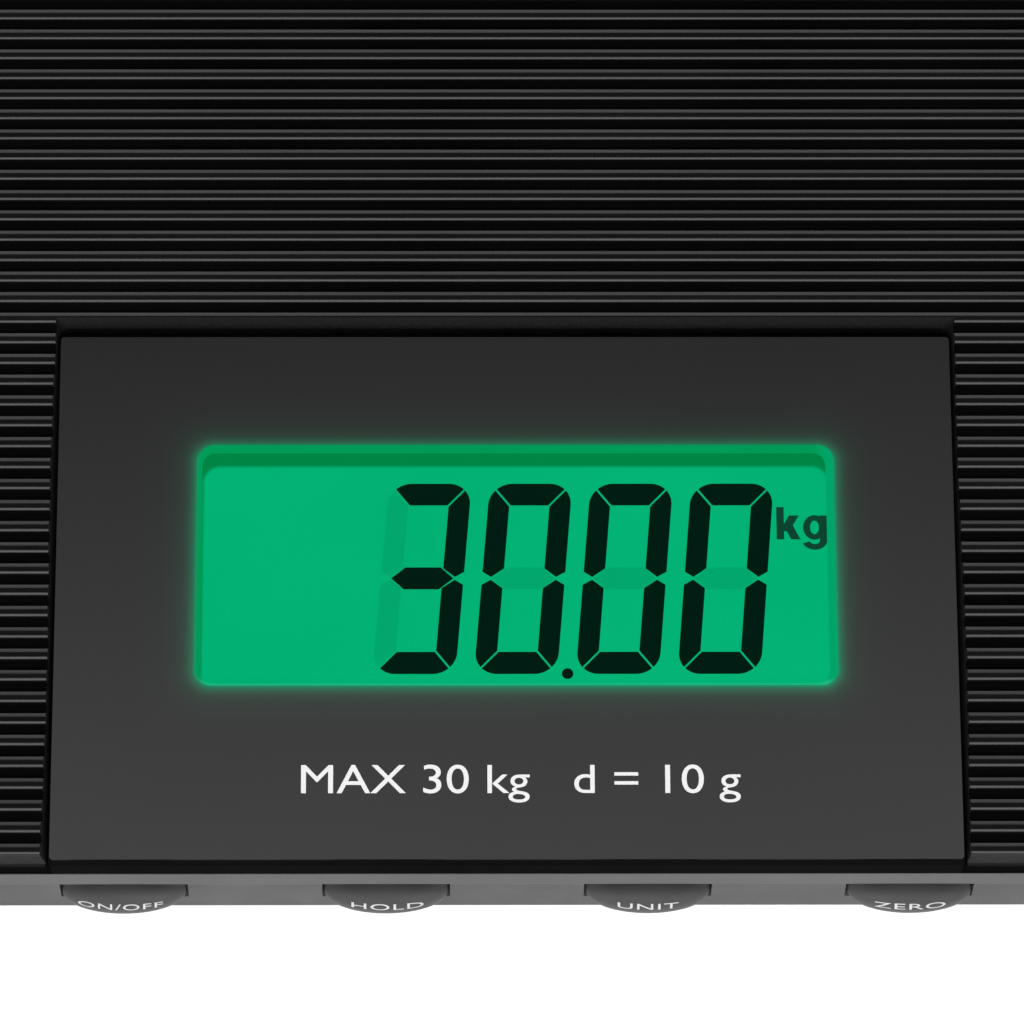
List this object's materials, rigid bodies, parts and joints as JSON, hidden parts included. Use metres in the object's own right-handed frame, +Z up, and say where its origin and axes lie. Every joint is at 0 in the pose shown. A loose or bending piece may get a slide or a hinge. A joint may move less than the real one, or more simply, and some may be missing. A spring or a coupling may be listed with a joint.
{
  "type": "platform shipping scale",
  "caption": "Low bench scale for parcels: ribbed rubber mat on a U-shaped weighing plate over a load cell, back-lit display panel and keys at the front.",
  "frame": {"origin": "middle of the overall footprint, at the undersides of the feet", "axes": "+X to the right seen from the keys, +Y from the keys to the back, +Z up"},
  "size_m": [0.31, 0.3032, 0.04],
  "materials": {
    "body_grey": "fine spark-eroded texture",
    "panel_black": "satin",
    "overlay_gloss": "semi-gloss printed film",
    "lens_clear": "clear acrylic",
    "lcd_green": "back-lit green LCD",
    "light_guide": "diffusing",
    "holder_white": "smooth",
    "elastomer": "layered",
    "board_green": "solder mask",
    "chip_black": "moulded",
    "header_white": "moulded",
    "switch_black": "moulded",
    "ribbon_white": "smooth",
    "screw_steel": "zinc plated",
    "frame_steel": "galvanised sheet",
    "cell_aluminium": "machined",
    "foot_rubber": "matt",
    "cell_wrap": "printed sleeve",
    "contact_nickel": "nickel plated",
    "jack_black": "moulded",
    "cable_grey": "sheath",
    "wire_red": "sheath",
    "wire_black": "sheath",
    "plate_black": "moulded",
    "mat_rubber": "ribbed",
    "key_grey": "satin"
  },
  "bodies": {
    "base": {"base_pan": "body_grey", "top_cover": "body_grey", "display_housing": "panel_black", "display_lens": "lens_clear", "panel_overlay": "overlay_gloss", "lcd_holder": "holder_white", "lcd_glass": "lcd_green", "backlight": "light_guide", "zebra_strips": "elastomer", "main_board": "board_green", "board_chips": "chip_black", "wire_headers": "header_white", "board_screws": "screw_steel", "key_switches": "switch_black", "key_board": "board_green", "key_board_screws": "screw_steel", "key_ribbon": "ribbon_white", "load_cell": "cell_aluminium", "cell_bracket": "frame_steel", "cell_screws": "screw_steel", "stop_screws": "screw_steel", "battery_cells": "cell_wrap", "battery_contacts": "contact_nickel", "rubber_feet": "foot_rubber", "case_screws": "screw_steel", "dc_jack": "jack_black", "cell_cable": "cable_grey", "battery_leads": "wire_red", "socket_leads": "wire_black"},
    "load_frame": {"cell_spacer": "cell_aluminium", "load_spider": "frame_steel", "spider_screws": "screw_steel", "rubber_posts": "foot_rubber"},
    "platform": {"platform_plate": "plate_black", "rubber_mat": "mat_rubber"},
    "on_off_button": {"on_off_key": "key_grey", "on_off_plunger": "switch_black"},
    "hold_button": {"hold_key": "key_grey", "hold_plunger": "switch_black"},
    "unit_button": {"unit_key": "key_grey", "unit_plunger": "switch_black"},
    "zero_button": {"zero_key": "key_grey", "zero_plunger": "switch_black"},
    "battery_door": {"battery_door": "body_grey"}
  },
  "joints": [
    {"name": "load_travel", "type": "slide", "parent": "base", "child": "load_frame", "axis": [0, 0, 1], "range_m": [-0.0006, 0], "stiffness_N_per_m": 40000, "springref_m": 0.0002, "deforming": ["load_cell"]},
    {"name": "platform_lift", "type": "slide", "parent": "load_frame", "child": "platform", "axis": [0, 0, 1], "range_m": [0, 0.04]},
    {"name": "on_off_press", "type": "slide", "parent": "base", "child": "on_off_button", "axis": [0, 1, 0], "range_m": [0, 0.0008], "stiffness_N_per_m": 1500, "springref_m": -0.0004},
    {"name": "hold_press", "type": "slide", "parent": "base", "child": "hold_button", "axis": [0, 1, 0], "range_m": [0, 0.0008], "stiffness_N_per_m": 1500, "springref_m": -0.0004},
    {"name": "unit_press", "type": "slide", "parent": "base", "child": "unit_button", "axis": [0, 1, 0], "range_m": [0, 0.0008], "stiffness_N_per_m": 1500, "springref_m": -0.0004},
    {"name": "zero_press", "type": "slide", "parent": "base", "child": "zero_button", "axis": [0, 1, 0], "range_m": [0, 0.0008], "stiffness_N_per_m": 1500, "springref_m": -0.0004},
    {"name": "battery_door_hinge", "type": "hinge", "parent": "base", "child": "battery_door", "pos_m": [0, 0.0451, 0.0059], "axis": [-1, 0, 0], "range_deg": [0, 35]}
  ]
}
